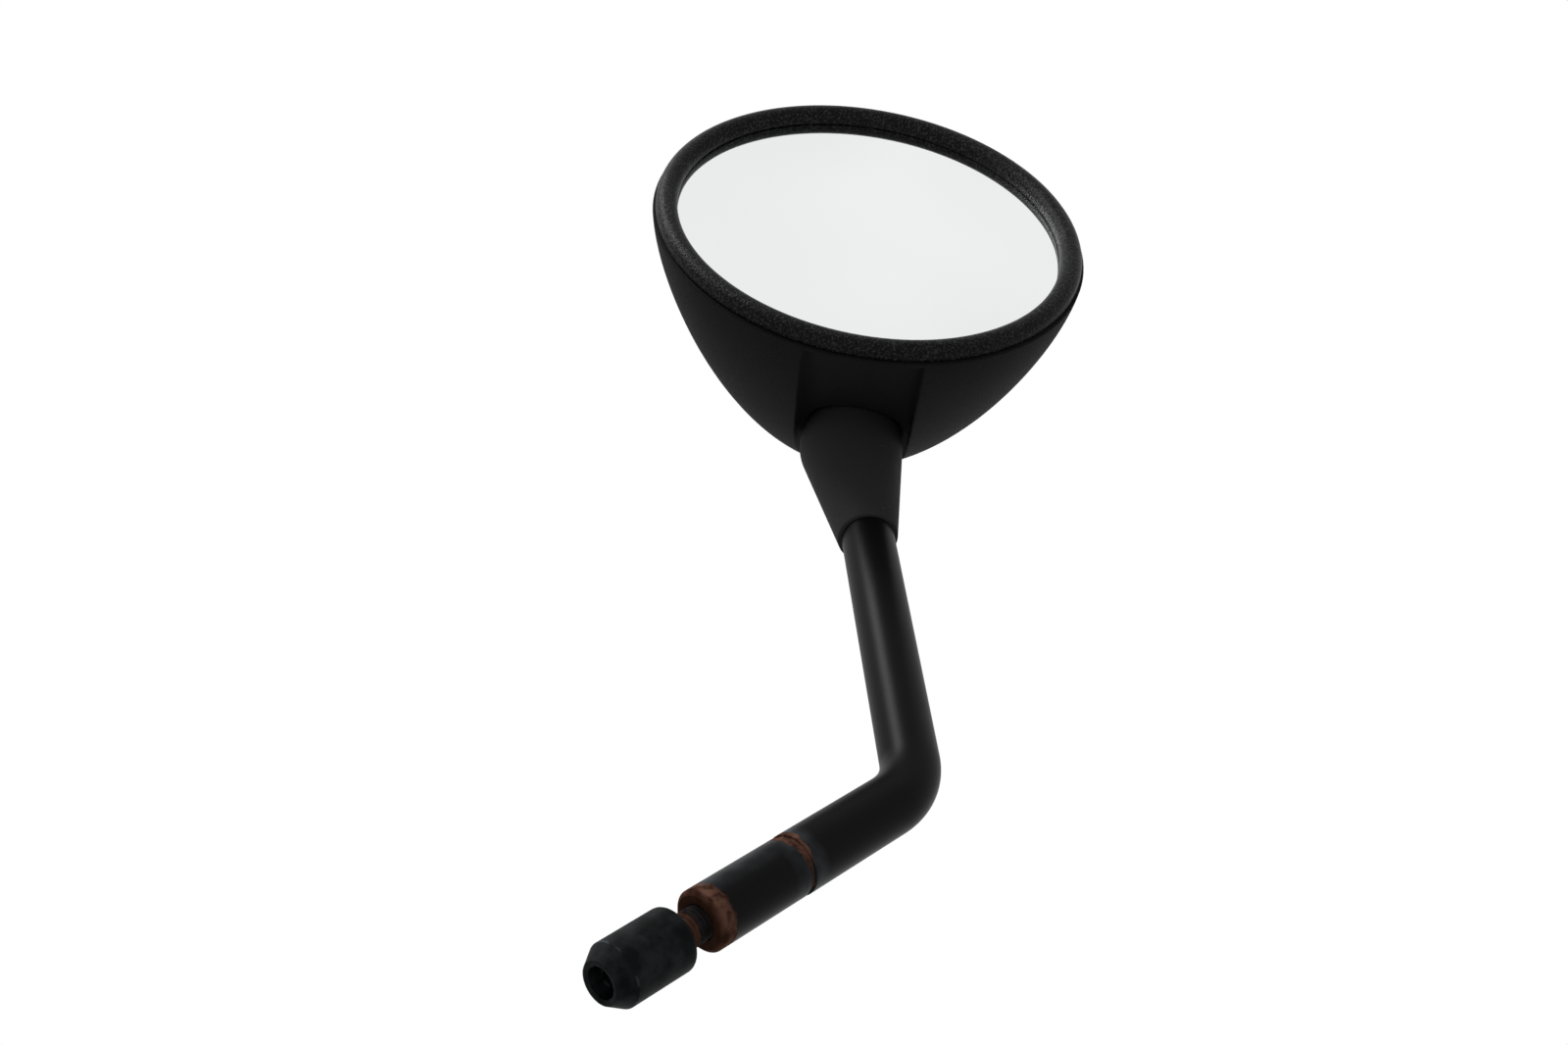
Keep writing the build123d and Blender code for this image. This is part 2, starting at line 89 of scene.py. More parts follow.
def colour(name, description, hex_colour):
    """A surface colour with its default written as sRGB hex."""
    return bpy.props.FloatVectorProperty(
        name=name,
        description=description,
        default=linear(hex_colour),
        subtype="COLOR",
        size=4,
        min=0.0,
        max=1.0,
    )


class MirrorStemSizes(bpy.types.PropertyGroup):
    """Sizes of the rod, its clamp bolt and the boot."""

    rod_radius: length("Rod radius", "Radius of the painted rod", 7.1)
    land_radius: length("Land radius", "Radius of the land that the clamp grips", 7.0)
    land_half: length("Land half length", "From the origin to each end of the land", 13.0)
    groove_width: length("Groove width", "Width of the groove between land and rod", 1.6)
    groove_radius: length("Groove radius", "Radius at the bottom of the groove", 6.6)
    end_chamfer: length("End chamfer", "Chamfer round the foot of the stem", 1.0)
    corner_height: length("Corner height", "From the origin to the corner of the bend", 56.7)
    bend_radius: length("Bend radius", "Radius of the rod's axis in the bend", 22.0)
    bend_angle: lean("Bend angle", "Lean of the upper leg", 47.6)
    corner_to_pivot: length("Corner to pivot", "From the bend's corner to the ball", 141.2)
    shoulder: length("Shoulder", "From the ball down to the rod's shoulder", 22.0)
    spigot_radius: length("Spigot radius", "Radius of the spigot above the shoulder", 5.0)
    spigot_top: length("Spigot top", "From the ball down to the spigot's end", 11.9)
    thread_radius: length("Thread radius", "Crest radius of the clamp bolt's thread", 4.0)
    thread_pitch: length("Thread pitch", "Pitch of the clamp bolt's thread", 1.25)
    thread_depth: length("Thread depth", "Depth of the clamp bolt's thread", 0.62)
    hole_depth: length("Hole depth", "Depth of the tapped hole in the foot", 20.0)
    engagement: length("Engagement", "Length of the bolt inside the foot", 16.0)
    shank_showing: length("Shank showing", "Bolt shank between foot and head", 7.1)
    head_radius: length("Bolt head radius", "Radius of the long round head", 7.2)
    head_length: length("Bolt head length", "Length of the head with its nose", 20.4)
    nose_length: length("Nose length", "Length of the conical nose", 3.8)
    nose_face_radius: length("Nose face radius", "Radius of the nose's flat face", 4.8)
    hex_flat: length("Hex half width", "Half the width across the hex socket's flats", 3.5)
    hex_depth: length("Hex depth", "Depth of the hex socket", 9.0)
    dome_radius: length("Dome radius", "Radius of the boot's dome round the ball", 14.7)
    boot_wall: length("Boot wall", "Wall of the boot", 2.2)
    boot_reach: length("Boot reach", "From the ball down to the boot's lip", 43.9)
    boot_lip_radius: length("Boot lip radius", "Radius of the boot at its lip", 8.1)
    boot_collar: length("Boot collar", "Length that grips the rod", 5.0)


class MirrorHeadSizes(bpy.types.PropertyGroup):
    """Sizes that place and shape the glass in its bezel."""

    tilt: lean("Head tilt", "Glass below the horizontal", 11.1)
    pivot_across: length("Pivot across", "From the middle of the glass to the ball, across", 28.2)
    pivot_below: length("Pivot below", "From the middle of the glass down to the ball", 29.0)
    pivot_behind: length("Pivot behind", "From the middle of the glass back to the ball", 48.8)
    bezel_long: length("Bezel long radius", "Half the bezel's width", 62.8)
    bezel_short: length("Bezel short radius", "Half the bezel's height", 58.341)
    lip_width: length("Lip width", "Width of the rounded lip", 6.2)
    lip_base: length("Lip base", "Underside of the lip, from the glass plane", -0.9)
    skirt_setback: length("Skirt setback", "From the lip's edge in to the skirt", 3.2)
    skirt_wall: length("Skirt wall", "Wall of the skirt inside the housing", 1.9)
    glass_clearance: length("Glass clearance", "Gap between glass and skirt", 0.25)
    glass_gap: length("Glass gap", "Gap between glass and lip", 0.1)
    glass_thickness: length("Glass thickness", "Thickness of the glass", 2.0)
    glass_curve: length("Glass curve", "Radius of the convex glass", 1200.0)


class MirrorFinishes(bpy.types.PropertyGroup):
    """Colours of the finishes."""

    housing_black: colour("Housing black", "Moulded housing", "#151516")
    bezel_black: colour("Bezel black", "Grained bezel", "#0d0d0e")
    # The two crest colours are painted sheen: they lighten the grain's crests as if light caught on
    # them
    housing_crest_sheen: colour("Housing crest", "Crests of the housing's grain", "#1c1c1d")
    bezel_crest_sheen: colour("Bezel crest", "Crests of the bezel's grain", "#343435")
    boot_black: colour("Boot black", "Rubber boot", "#323232")
    lint_grey: colour("Lint grey", "Dust and lint on the rubber", "#6a6a68")
    paint_black: colour("Paint black", "Satin paint of the rod", "#0b0b0c")
    worn_grey: colour("Worn grey", "Paint rubbed by the clamp", "#303336")
    rust_light: colour("Light rust", "Dry rust on the foot and in the groove", "#64463a")
    rust_dark: colour("Dark rust", "Rust in pits and threads", "#2e1a11")
    bolt_charcoal: colour("Bolt charcoal", "Oxide finish of the clamp bolt", "#0a0b0c")
    bolt_edge: colour("Bolt edge", "Rubbed edges of the clamp bolt", "#454a4d")
    glass_silver: colour("Glass silver", "Silvered glass", "#f2f2f2")
    glass_haze: colour("Glass haze", "Faint film on the glass", "#e2e5e4")


class MirrorStage(bpy.types.PropertyGroup):
    """Camera and light."""

    camera_place: bpy.props.FloatVectorProperty(
        name="Camera place",
        description="Where the camera stands",
        default=(0.15558, -0.28935, -0.25242),
        subtype="TRANSLATION",
    )
    camera_right: bpy.props.FloatVectorProperty(
        name="Camera right",
        description="Direction of the picture's right side",
        default=(0.71023, -0.22706, 0.66634),
        subtype="DIRECTION",
    )
    camera_up: bpy.props.FloatVectorProperty(
        name="Camera up",
        description="Direction of the picture's top",
        default=(-0.52587, -0.80041, 0.28776),
        subtype="DIRECTION",
    )
    lens: bpy.props.FloatProperty(
        name="Lens", description="Focal length in millimetres", default=45.0
    )
    floor_drop: length("Floor drop", "Height of the floor under the origin", 900.0)
    ambient: bpy.props.FloatProperty(
        name="Ambient", description="Strength of the room's light", default=0.33
    )


def add_node(tree, kind, sockets=None, **settings):
    """Adds one node, sets it, and fills each named socket with a value or a link."""
    made = tree.nodes.new(kind)
    for key, value in settings.items():
        setattr(made, key, value)
    for name, value in (sockets or {}).items():
        if isinstance(value, bpy.types.NodeSocket):
            tree.links.new(value, made.inputs[name])
        else:
            made.inputs[name].default_value = value
    return made


def new_material(name):
    """An empty node material with its tree and its Object coordinates."""
    material = bpy.data.materials.new(name)
    material.use_nodes = True
    tree = material.node_tree
    tree.nodes.clear()
    place = add_node(tree, "ShaderNodeTexCoord").outputs["Object"]
    return material, tree, place


def finish_shader(tree, sockets):
    """Ends a material with its Principled shader and its output."""
    shader = add_node(tree, "ShaderNodeBsdfPrincipled", sockets)
    add_node(tree, "ShaderNodeOutputMaterial", {"Surface": shader.outputs["BSDF"]})


def shaded(tone, share):
    """A colour with its light multiplied by a share."""
    return (*(min(1.0, part * share) for part in tone[:3]), 1.0)


def finish_solid(node, material):
    """Gives a solid its finish, and leaves its shape as it is."""
    solid = frame["nodes"][node]
    solid.data.materials.clear()
    solid.data.materials.append(material)


def dress(piece, material, body, slot, *nodes):
    """Gives a piece its material and its body, and hides the solids that it stands for; slot is not
    used.
    """
    piece.data.materials.append(material)
    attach(piece, body)
    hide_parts(*nodes)


def rounded(corners):
    """Outline of points through corners given as (along, radius, fillet); a fillet is an arc of
    that radius, tangent to both sides."""
    corners = np.array(corners, float)
    points = corners[:, :2]
    part = np.linspace(0, 1, ROUNDING_POINTS)[:, None]
    runs = [points[:1]]
    for before, here, after, fillet in zip(points[:-2], points[1:-1], points[2:], corners[1:-1, 2]):
        if fillet == 0:
            runs.append(here[None])
            continue
        one = (before - here) / np.linalg.norm(before - here)
        two = (after - here) / np.linalg.norm(after - here)
        half = np.arccos(np.clip(one @ two, -1, 1)) / 2
        middle = here + (one + two) / np.linalg.norm(one + two) * fillet / np.sin(half)
        start = here + one * fillet / np.tan(half) - middle
        end = here + two * fillet / np.tan(half) - middle
        sweep = pi - 2 * half
        arc = (np.sin((1 - part) * sweep) * start + np.sin(part * sweep) * end) / np.sin(sweep)
        runs.append(middle + arc)
    return np.vstack(runs + [points[-1:]])


def dense(outline, step):
    """Points along an outline, no further apart than a step."""
    spans = np.linalg.norm(np.diff(outline, axis=0), axis=1)
    counts = np.maximum(1, np.ceil(spans / step)).astype(int)
    runs = [
        start + (end - start) * np.linspace(0, 1, count, endpoint=False)[:, None]
        for start, end, count in zip(outline[:-1], outline[1:], counts)
    ]
    return np.vstack(runs + [outline[-1:]])


def grid_piece(name, points, ring=False):
    """Piece on a grid of rows by columns by 3: columns close on themselves, rows too if ring. Poles
    are merged and faces turned outwards."""
    rows, columns = points.shape[:2]
    index = np.arange(rows * columns).reshape(rows, columns)
    here = index if ring else index[:-1]
    above = np.roll(index, -1, axis=0) if ring else index[1:]
    corners = [here, np.roll(here, -1, 1), np.roll(above, -1, 1), above]
    mesh = bpy.data.meshes.new(name)
    mesh.from_pydata(points.reshape(-1, 3), [], np.stack(corners, axis=-1).reshape(-1, 4))
    work = bmesh.new()
    work.from_mesh(mesh)
    bmesh.ops.remove_doubles(work, verts=work.verts, dist=MERGE)
    bmesh.ops.dissolve_degenerate(work, edges=work.edges, dist=SLIVER)
    bmesh.ops.recalc_face_normals(work, faces=work.faces)
    work.to_mesh(mesh)
    work.free()
    mesh.polygons.foreach_set("use_smooth", np.ones(len(mesh.polygons), bool))
    mesh.set_sharp_from_angle(angle=SHARP_ANGLE)
    piece = bpy.data.objects.new(name, mesh)
    bpy.context.scene.collection.objects.link(piece)
    return piece


def stem_line(along, sizes):
    """The rod's axis by distance from the origin, with its normal: straight up, a circular bend,
    then straight up the leaning leg."""
    radius, bend = sizes.bend_radius, sizes.bend_angle
    bend_start = sizes.corner_height - radius * tan(bend / 2)
    turn = np.clip((along - bend_start) / radius, 0, bend)
    leg = np.maximum(along - bend_start - radius * bend, 0)
    across = -radius * (1 - np.cos(turn)) - leg * sin(bend)
    height = np.minimum(along, bend_start) + radius * np.sin(turn) + leg * cos(bend)
    centre = np.stack([across, np.zeros_like(across), height], axis=-1)
    normal = np.stack([np.cos(turn), np.zeros_like(turn), np.sin(turn)], axis=-1)
    return centre, normal


def pivot_along(sizes):
    """Distance of the ball's centre along the rod's axis: both legs up to the bend's corner, plus
    the bend's arc, less its two setbacks."""
    half = sizes.bend_angle / 2
    bend_change = sizes.bend_radius * (2 * half - 2 * tan(half))
    return sizes.corner_height + sizes.corner_to_pivot + bend_change


def foot_end(sizes):
    """Lower end of the stem along the rod's axis: half the land and the chamfer, downwards."""
    return -sizes.land_half - sizes.end_chamfer


def carried(outline, columns, sizes, swell=None):
    """An outline of (along, radius) carried round the rod's axis: its centre plus the radius along
    the spoke at each angle; swell adds to the radius by row and angle."""
    centre, normal = stem_line(outline[:, 0], sizes)
    angle = np.linspace(0, 2 * pi, columns, endpoint=False)
    radius = np.repeat(outline[:, 1:2], columns, axis=1)
    if swell is not None:
        radius = radius + swell(outline[:, 0:1], angle[None, :])
    side = np.array([0.0, 1.0, 0.0])
    spokes = np.cos(angle)[None, :, None] * normal[:, None, :] + np.sin(angle)[None, :, None] * side
    return centre[:, None, :] + radius[:, :, None] * spokes


def head_frame(sizes):
    """Middle of the glass plane, set off from the ball along the head's own axes, with its right,
    up and outward directions."""
    right = np.array([1.0, 0.0, 0.0])
    up = np.array([0.0, -sin(sizes.tilt), cos(sizes.tilt)])
    out = np.array([0.0, -cos(sizes.tilt), -sin(sizes.tilt)])
    middle = PIVOT - right * sizes.pivot_across + up * sizes.pivot_below + out * sizes.pivot_behind
    return middle, right, up, out


def moulded_abs(name, tone, crest_sheen_tone, grain_mm, depth_mm, roughness):
    """ABS moulded in a spark-eroded tool: near black, with a fine pebbled grain that breaks up a
    soft sheen, the grain's crests lightened towards a crest colour as painted sheen, and edges
    rounded by a millimetre. The grain is drawn coarser than the real 0.2 mm so that it shows."""
    grain, cloud_width, edge_radius = grain_mm * MM, 22.0 * MM, 1.0 * MM
    material, tree, place = new_material(name)
    pebbles = add_node(
        tree,
        "ShaderNodeTexVoronoi",
        {"Vector": place, "Scale": 1 / grain, "Randomness": 1.0},
        feature="SMOOTH_F1",
    )
    fine = add_node(
        tree, "ShaderNodeTexNoise", {"Vector": place, "Scale": 2.2 / grain, "Detail": 2.0}
    )
    height = add_node(
        tree,
        "ShaderNodeMath",
        {0: fine.outputs["Fac"], 1: 0.6, 2: pebbles.outputs["Distance"]},
        operation="MULTIPLY_ADD",
    )
    edge = add_node(tree, "ShaderNodeBevel", {"Radius": edge_radius}, samples=6)
    bump = add_node(
        tree,
        "ShaderNodeBump",
        {
            "Strength": 1.0,
            "Distance": depth_mm * MM,
            "Height": height.outputs["Value"],
            "Normal": edge.outputs["Normal"],
        },
    )
    cloud = add_node(
        tree, "ShaderNodeTexNoise", {"Vector": place, "Scale": 1 / cloud_width, "Detail": 4.0}
    )
    shade = add_node(
        tree,
        "ShaderNodeMix",
        {"Factor": cloud.outputs["Fac"], "A": tone, "B": shaded(tone, 1.55)},
        data_type="RGBA",
    )
    # Painted sheen: the grain's crests are mixed towards the lighter crest colour
    crest_sheen = add_node(
        tree,
        "ShaderNodeMapRange",
        {"Value": height.outputs["Value"], "From Min": 0.7, "From Max": 1.0},
    )
    grain_with_sheen = add_node(
        tree,
        "ShaderNodeMix",
        {"Factor": crest_sheen.outputs["Result"], "A": shade.outputs["Result"], "B": crest_sheen_tone},
        data_type="RGBA",
    )
    gloss = add_node(
        tree,
        "ShaderNodeMapRange",
        {"Value": fine.outputs["Fac"], "To Min": roughness - 0.07, "To Max": roughness + 0.09},
    )
    finish_shader(
        tree,
        {
            "Base Color": grain_with_sheen.outputs["Result"],
            "Roughness": gloss.outputs["Result"],
            "IOR": 1.53,
            "Specular IOR Level": 0.035,
            "Normal": bump.outputs["Normal"],
        },
    )
    return material


class MIRROR_OT_housing(bpy.types.Operator):
    """Finish of the moulded housing"""

    bl_idname = "mirror.housing"
    bl_label = "Housing"

    def execute(self, context):
        tones = context.scene.mirror_finishes
        material = moulded_abs(
            "fine_grain_abs",
            tones.housing_black,
            tones.housing_crest_sheen,
            grain_mm=0.6,
            depth_mm=0.05,
            roughness=0.72,
        )
        finish_solid("housing", material)
        return {"FINISHED"}


class MIRROR_OT_bezel(bpy.types.Operator):
    """Finish of the grained bezel with its rounded lip over the glass"""

    bl_idname = "mirror.bezel"
    bl_label = "Bezel"

    def execute(self, context):
        tones = context.scene.mirror_finishes
        material = moulded_abs(
            "grained_bezel_abs",
            tones.bezel_black,
            tones.bezel_crest_sheen,
            grain_mm=0.5,
            depth_mm=0.14,
            roughness=0.32,
        )
        finish_solid("bezel", material)
        return {"FINISHED"}


def silvered_glass(tones):
    """Float glass, silvered: a clear reflection, dulled a little by a film of dirt."""
    film_width, cloud_width = 17.0 * MM, 70.0 * MM
    material, tree, place = new_material("silvered_glass")
    film = add_node(
        tree, "ShaderNodeTexNoise", {"Vector": place, "Scale": 1 / film_width, "Detail": 5.0}
    )
    gloss = add_node(
        tree, "ShaderNodeMapRange", {"Value": film.outputs["Fac"], "To Min": 0.02, "To Max": 0.06}
    )
    cloud = add_node(
        tree, "ShaderNodeTexNoise", {"Vector": place, "Scale": 1 / cloud_width, "Detail": 1.0}
    )
    haze = add_node(
        tree,
        "ShaderNodeMix",
        {"Factor": cloud.outputs["Fac"], "A": tones.glass_haze, "B": tones.glass_silver},
        data_type="RGBA",
    )
    finish_shader(
        tree,
        {
            "Base Color": haze.outputs["Result"],
            "Metallic": 1.0,
            "Roughness": gloss.outputs["Result"],
        },
    )
    return material


class MIRROR_OT_glass(bpy.types.Operator):
    """Convex silvered glass behind the lip"""

    bl_idname = "mirror.glass"
    bl_label = "Glass"

    def execute(self, context):
        sizes = context.scene.mirror_head
        rows, columns, innermost = 40, 192, 0.02
        ground_edge = 0.3 * MM
        inset = sizes.skirt_setback + sizes.skirt_wall + sizes.glass_clearance
        long_radius = sizes.bezel_long - inset
        short_radius = sizes.bezel_short - inset
        crown = (sizes.bezel_short - sizes.lip_width) ** 2 / (2 * sizes.glass_curve)
        front = sizes.lip_base + crown - sizes.glass_gap
        share = np.concatenate([np.linspace(1, innermost, rows), [0.0]])
        middle, right, up, out = head_frame(sizes)
        angle = np.linspace(0, 2 * pi, columns, endpoint=False)

        def face(shares, drop):
            """Part of a sphere over the oval, shares of the way out, dropped behind the front."""
            across = shares[:, None] * long_radius * np.cos(angle)
            rise = shares[:, None] * short_radius * np.sin(angle)
            curve = sizes.glass_curve - drop
            depth = front - sizes.glass_curve + np.sqrt(curve**2 - across**2 - rise**2)
            flat = across[..., None] * right + rise[..., None] * up
            return middle + flat + depth[..., None] * out

        points = np.concatenate(
            [
                face(share[::-1] * (1 - ground_edge / short_radius), 0),
                face(np.ones(1), ground_edge),
                face(np.ones(1), sizes.glass_thickness),
                face(share[1:], sizes.glass_thickness),
            ]
        )
        piece = grid_piece("convex_glass", points)
        material = silvered_glass(context.scene.mirror_finishes)
        dress(piece, material, "head", "mirror_glass", "mirror_glass")
        return {"FINISHED"}


def moulded_epdm(tones):
    """EPDM rubber, moulded smooth: matte black, with lint and dust caught on it in patches. The
    skin is drawn coarser than the real 0.1 mm so that it shows."""
    skin_grain, lint_spacing, patch_width = 0.4 * MM, 2.1 * MM, 8.3 * MM
    material, tree, place = new_material("moulded_epdm")
    skin = add_node(
        tree, "ShaderNodeTexNoise", {"Vector": place, "Scale": 1 / skin_grain, "Detail": 3.0}
    )
    bump = add_node(
        tree,
        "ShaderNodeBump",
        {"Strength": 0.6, "Distance": 0.03 * MM, "Height": skin.outputs["Fac"]},
    )
    lint = add_node(tree, "ShaderNodeTexVoronoi", {"Vector": place, "Scale": 1 / lint_spacing})
    patch = add_node(
        tree, "ShaderNodeTexNoise", {"Vector": place, "Scale": 1 / patch_width, "Detail": 2.0}
    )
    speck = add_node(
        tree,
        "ShaderNodeMapRange",
        {"Value": lint.outputs["Distance"], "From Min": 0.12, "From Max": 0.04},
    )
    gather = add_node(
        tree,
        "ShaderNodeMapRange",
        {"Value": patch.outputs["Fac"], "From Min": 0.5, "From Max": 0.64, "To Max": 0.6},
    )
    share = add_node(
        tree,
        "ShaderNodeMath",
        {0: speck.outputs["Result"], 1: gather.outputs["Result"]},
        operation="MULTIPLY",
    )
    shade = add_node(
        tree,
        "ShaderNodeMix",
        {"Factor": share.outputs["Value"], "A": tones.boot_black, "B": tones.lint_grey},
        data_type="RGBA",
    )
    gloss = add_node(
        tree, "ShaderNodeMapRange", {"Value": patch.outputs["Fac"], "To Min": 0.58, "To Max": 0.74}
    )
    finish_shader(
        tree,
        {
            "Base Color": shade.outputs["Result"],
            "Roughness": gloss.outputs["Result"],
            "IOR": 1.52,
            "Specular IOR Level": 0.02,
            "Normal": bump.outputs["Normal"],
        },
    )
    return material


class MIRROR_OT_boot(bpy.types.Operator):
    """Rubber boot: a dome round the ball, a long cone and a collar on the rod"""

    bl_idname = "mirror.boot"
    bl_label = "Boot"

    def execute(self, context):
        sizes = context.scene.mirror_stem
        dome_steps, lining_steps, columns, step = 28, 24, 128, 2.0 * MM
        stud_neck, stud_play, lip_rounding = 3.3 * MM, radians(19), 0.35 * MM
        dome = sizes.dome_radius
        lining = dome - sizes.boot_wall
        lip = -sizes.boot_reach
        collar = sizes.boot_collar - sizes.boot_reach
        grip = sizes.rod_radius + 0.02 * MM

        def touch(radius, side, height):
            """Angle from the axis, up the leg, where a line from a point touches a ball."""
            return pi - np.arctan2(side, -height) - np.arccos(radius / np.hypot(side, height))

        mouth = np.arcsin(stud_neck / lining) + stud_play
        outer = np.linspace(mouth, touch(dome, sizes.boot_lip_radius, lip), dome_steps)
        inner = np.linspace(touch(lining, sizes.rod_radius, collar), mouth, lining_steps)
        outside = np.stack([dome * np.cos(outer), dome * np.sin(outer)], axis=-1)
        inside = np.stack([lining * np.cos(inner), lining * np.sin(inner)], axis=-1)
        foot = rounded(
            [
                (*outside[-1], 0),
                (lip, sizes.boot_lip_radius, lip_rounding),
                (lip, grip, 0),
                (collar, grip, 0),
                (*inside[0], 0),
            ]
        )
        outline = np.vstack([outside[:-1], dense(foot, step), inside[1:]])
        outline[:, 0] += pivot_along(sizes)
        piece = grid_piece("rubber_boot", carried(outline, columns, sizes), ring=True)
        material = moulded_epdm(context.scene.mirror_finishes)
        dress(piece, material, "stem", "boot_rubber", "boot")
        return {"FINISHED"}


def satin_enamel(sizes, tones):
    """Satin black enamel on steel: smooth with faint orange peel, rubbed grey where the clamp
    gripped it, with rust in the groove, widest on one side, and on the bare foot. A border of rust
    is a height, shifted by noise."""
    rust_patch, scuff_width, peel_width = 2.4 * MM, 7.7 * MM, 1.1 * MM
    border_shift, ring_shift = 2.0 * MM, 2.4 * MM
    foot = foot_end(sizes)
    groove = sizes.land_half + sizes.groove_width / 2
    material, tree, place = new_material("satin_enamel_on_steel")
    height = add_node(tree, "ShaderNodeSeparateXYZ", {"Vector": place}).outputs["Z"]
    ragged = add_node(
        tree, "ShaderNodeTexNoise", {"Vector": place, "Scale": 1 / rust_patch, "Detail": 5.0}
    )
    broad = add_node(
        tree, "ShaderNodeTexNoise", {"Vector": place, "Scale": 1 / scuff_width, "Detail": 3.0}
    )

    # Rust on the foot, below a ragged line
    shift = add_node(
        tree,
        "ShaderNodeMapRange",
        {"Value": ragged.outputs["Fac"], "To Min": -border_shift, "To Max": border_shift},
    )
    line = add_node(
        tree, "ShaderNodeMath", {0: height, 1: shift.outputs["Result"]}, operation="ADD"
    )
    foot_rust = add_node(
        tree,
        "ShaderNodeMapRange",
        {"Value": line.outputs["Value"], "From Min": -9.5 * MM, "From Max": -10.3 * MM},
    )

    # Rust round the groove, which reaches further on the worn side
    side = add_node(
        tree,
        "ShaderNodeVectorMath",
        {0: place, 1: tuple(part / sizes.rod_radius for part in WORN_SIDE)},
        operation="DOT_PRODUCT",
    )
    reach = add_node(
        tree,
        "ShaderNodeMapRange",
        {
            "Value": side.outputs["Value"],
            "From Min": -0.3,
            "To Min": 0.35 * MM,
            "To Max": 2.1 * MM,
        },
    )
    from_groove = add_node(tree, "ShaderNodeMath", {0: height, 1: groove}, operation="SUBTRACT")
    gap = add_node(
        tree, "ShaderNodeMath", {0: from_groove.outputs["Value"]}, operation="ABSOLUTE"
    )
    over = add_node(
        tree,
        "ShaderNodeMath",
        {0: gap.outputs["Value"], 1: reach.outputs["Result"]},
        operation="SUBTRACT",
    )
    frayed = add_node(
        tree,
        "ShaderNodeMath",
        {0: ragged.outputs["Fac"], 1: -ring_shift, 2: over.outputs["Value"]},
        operation="MULTIPLY_ADD",
    )
    ring_rust = add_node(
        tree,
        "ShaderNodeMapRange",
        {"Value": frayed.outputs["Value"], "From Min": -0.9 * MM, "From Max": -1.4 * MM},
    )
    rust_share = add_node(
        tree,
        "ShaderNodeMath",
        {0: foot_rust.outputs["Result"], 1: ring_rust.outputs["Result"]},
        operation="MAXIMUM",
    )

    # Paint rubbed thin on the land's worn side and in a band at the groove, in broad scuffs
    land = add_node(
        tree,
        "ShaderNodeMapRange",
        {"Value": side.outputs["Value"], "From Min": 0.55, "From Max": 0.95, "To Max": 0.8},
    )
    on_land = add_node(
        tree, "ShaderNodeMath", {0: line.outputs["Value"], 1: groove}, operation="LESS_THAN"
    )
    worn_side = add_node(
        tree,
        "ShaderNodeMath",
        {0: land.outputs["Result"], 1: on_land.outputs["Value"]},
        operation="MULTIPLY",
    )
    bare_band = add_node(
        tree,
        "ShaderNodeMapRange",
        {"Value": gap.outputs["Value"], "From Min": 5.4 * MM, "From Max": 2.6 * MM},
    )
    rubbed = add_node(
        tree,
        "ShaderNodeMath",
        {0: worn_side.outputs["Value"], 1: bare_band.outputs["Result"]},
        operation="MAXIMUM",
    )
    scuffs = add_node(
        tree,
        "ShaderNodeMapRange",
        {"Value": broad.outputs["Fac"], "From Min": 0.3, "From Max": 0.62},
    )
    worn = add_node(
        tree,
        "ShaderNodeMath",
        {0: rubbed.outputs["Value"], 1: scuffs.outputs["Result"]},
        operation="MULTIPLY",
    )
    paint = add_node(
        tree,
        "ShaderNodeMix",
        {"Factor": worn.outputs["Value"], "A": tones.paint_black, "B": tones.worn_grey},
        data_type="RGBA",
    )

    # Rust is light where it is dry, and dark in its pits and on the foot's end face
    scale = add_node(
        tree,
        "ShaderNodeMapRange",
        {"Value": ragged.outputs["Fac"], "From Min": 0.36, "From Max": 0.62},
    )
    open_face = add_node(
        tree,
        "ShaderNodeMapRange",
        {
            "Value": height,
            "From Min": foot + 0.1 * MM,
            "From Max": foot + 1.2 * MM,
            "To Min": 0.15,
        },
    )
    dry = add_node(
        tree,
        "ShaderNodeMath",
        {0: scale.outputs["Result"], 1: open_face.outputs["Result"]},
        operation="MULTIPLY",
    )
    rust = add_node(
        tree,
        "ShaderNodeMix",
        {"Factor": dry.outputs["Value"], "A": tones.rust_dark, "B": tones.rust_light},
        data_type="RGBA",
    )
    shade = add_node(
        tree,
        "ShaderNodeMix",
        {
            "Factor": rust_share.outputs["Value"],
            "A": paint.outputs["Result"],
            "B": rust.outputs["Result"],
        },
        data_type="RGBA",
    )
    gloss = add_node(
        tree,
        "ShaderNodeMapRange",
        {"Value": rust_share.outputs["Value"], "To Min": 0.4, "To Max": 0.9},
    )

    # Orange peel in the paint, and deeper pits where it has rusted
    peel = add_node(
        tree, "ShaderNodeTexNoise", {"Vector": place, "Scale": 1 / peel_width, "Detail": 2.0}
    )
    pitted = add_node(
        tree,
        "ShaderNodeMath",
        {0: rust_share.outputs["Value"], 1: ragged.outputs["Fac"]},
        operation="MULTIPLY",
    )
    relief = add_node(
        tree,
        "ShaderNodeMath",
        {0: pitted.outputs["Value"], 1: 12.0, 2: peel.outputs["Fac"]},
        operation="MULTIPLY_ADD",
    )
    bump = add_node(
        tree,
        "ShaderNodeBump",
        {"Strength": 0.5, "Distance": 0.02 * MM, "Height": relief.outputs["Value"]},
    )
    finish_shader(
        tree,
        {
            "Base Color": shade.outputs["Result"],
            "Roughness": gloss.outputs["Result"],
            "IOR": 1.5,
            "Specular IOR Level": 0.045,
            "Normal": bump.outputs["Normal"],
        },
    )
    return material


